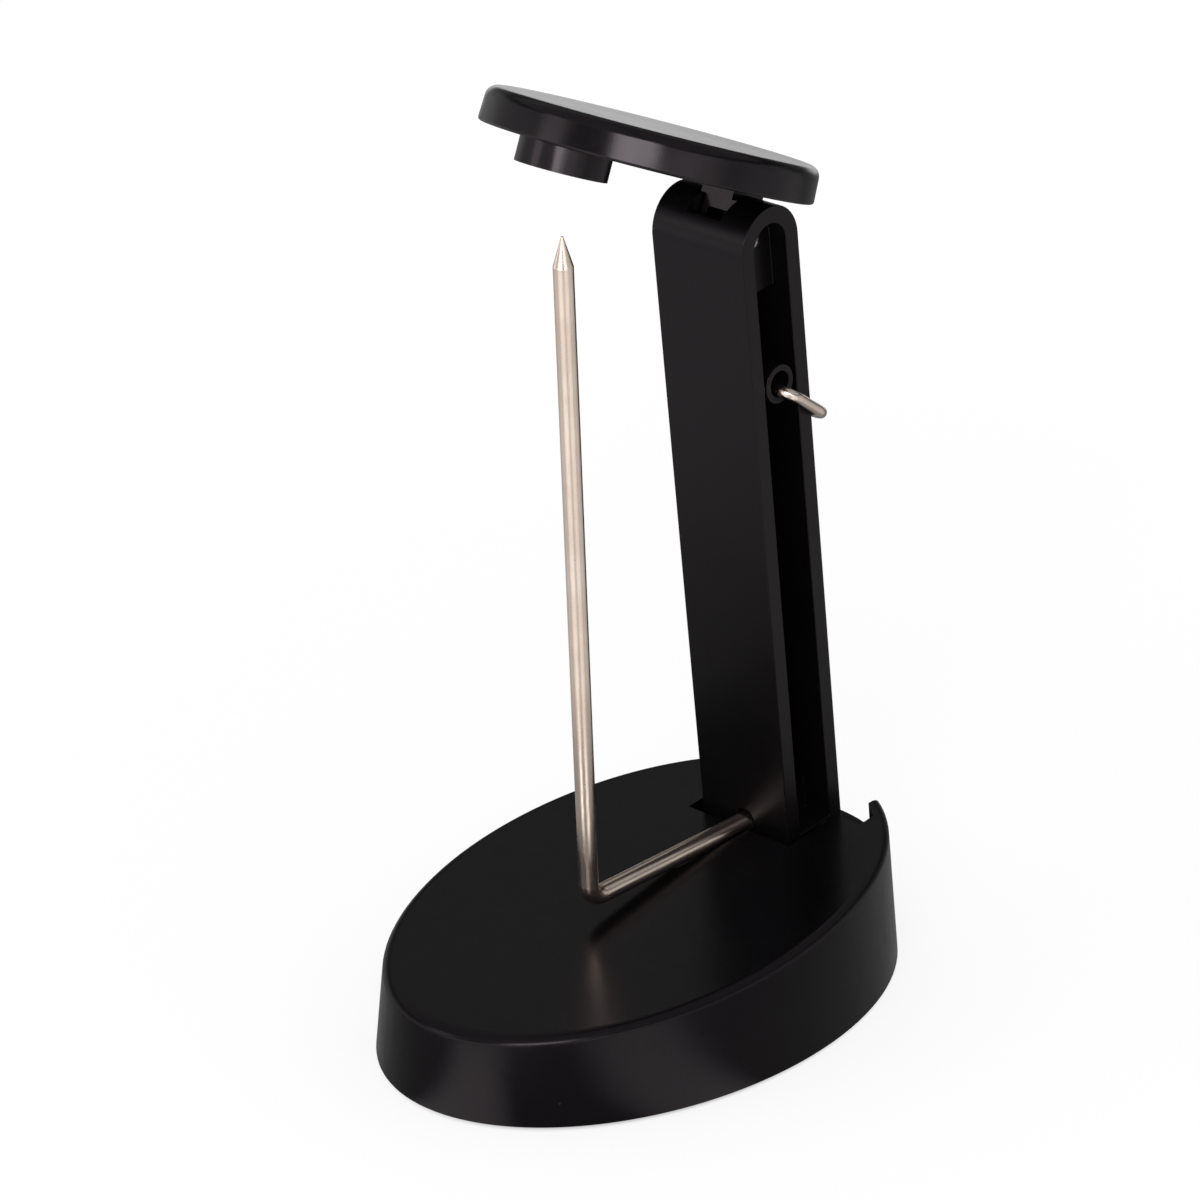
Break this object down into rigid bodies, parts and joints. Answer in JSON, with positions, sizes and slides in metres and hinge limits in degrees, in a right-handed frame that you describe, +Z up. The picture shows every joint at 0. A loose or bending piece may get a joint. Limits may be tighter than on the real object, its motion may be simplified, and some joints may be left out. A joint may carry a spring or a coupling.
{
  "type": "bill spike",
  "caption": "Desk bill spike: bent wire spike on a folding arm over a weighted oval base, with a sprung round cap that covers the point.",
  "frame": {"origin": "on the desk, at the middle of the base's outline", "axes": "+X to the object's right seen from the spike's side, +Y to the back where the arm stands, +Z up"},
  "size_m": [0.0742, 0.1102, 0.171],
  "materials": {
    "base_plastic": "fine satin moulding",
    "arm_plastic": "smooth semi-gloss moulding",
    "cap_plastic": "fine satin moulding",
    "cover_plastic": "plain moulding",
    "bright_wire": "bright nickel plate",
    "pin_steel": "ground steel",
    "screw_steel": "zinc plate",
    "ballast_steel": "sheared plate",
    "foot_rubber": "matt rubber",
    "spring_wire": "drawn spring wire"
  },
  "bodies": {
    "base": {"base_shell": "base_plastic", "base_cover": "cover_plastic", "ballast_plate": "ballast_steel", "cover_screws": "screw_steel", "foot_front_left": "foot_rubber", "foot_front_right": "foot_rubber", "foot_rear_left": "foot_rubber", "foot_rear_right": "foot_rubber", "arm_pin": "pin_steel"},
    "arm_body": {"arm": "arm_plastic", "spike": "bright_wire", "cap_pin": "pin_steel", "cap_spring": "spring_wire"},
    "cap_body": {"cap": "cap_plastic"},
    "ring": {"hanging_ring": "bright_wire"}
  },
  "joints": [
    {"name": "arm_fold", "type": "hinge", "parent": "base", "child": "arm_body", "pos_m": [0, 0.0395, 0.02135], "axis": [-1, 0, 0], "range_deg": [0, 97]},
    {"name": "cap_press", "type": "hinge", "parent": "arm_body", "child": "cap_body", "pos_m": [0, 0.02026, 0.13765], "axis": [1, 0, 0], "range_deg": [0, 18], "stiffness_Nm_per_rad": 0.012, "springref_deg": -40.11, "deforming": ["cap_spring"]},
    {"name": "ring_swing", "type": "hinge", "parent": "arm_body", "child": "ring", "pos_m": [0, 0.02356, 0.11086], "axis": [1, 0, 0], "range_deg": [0, 84]}
  ]
}
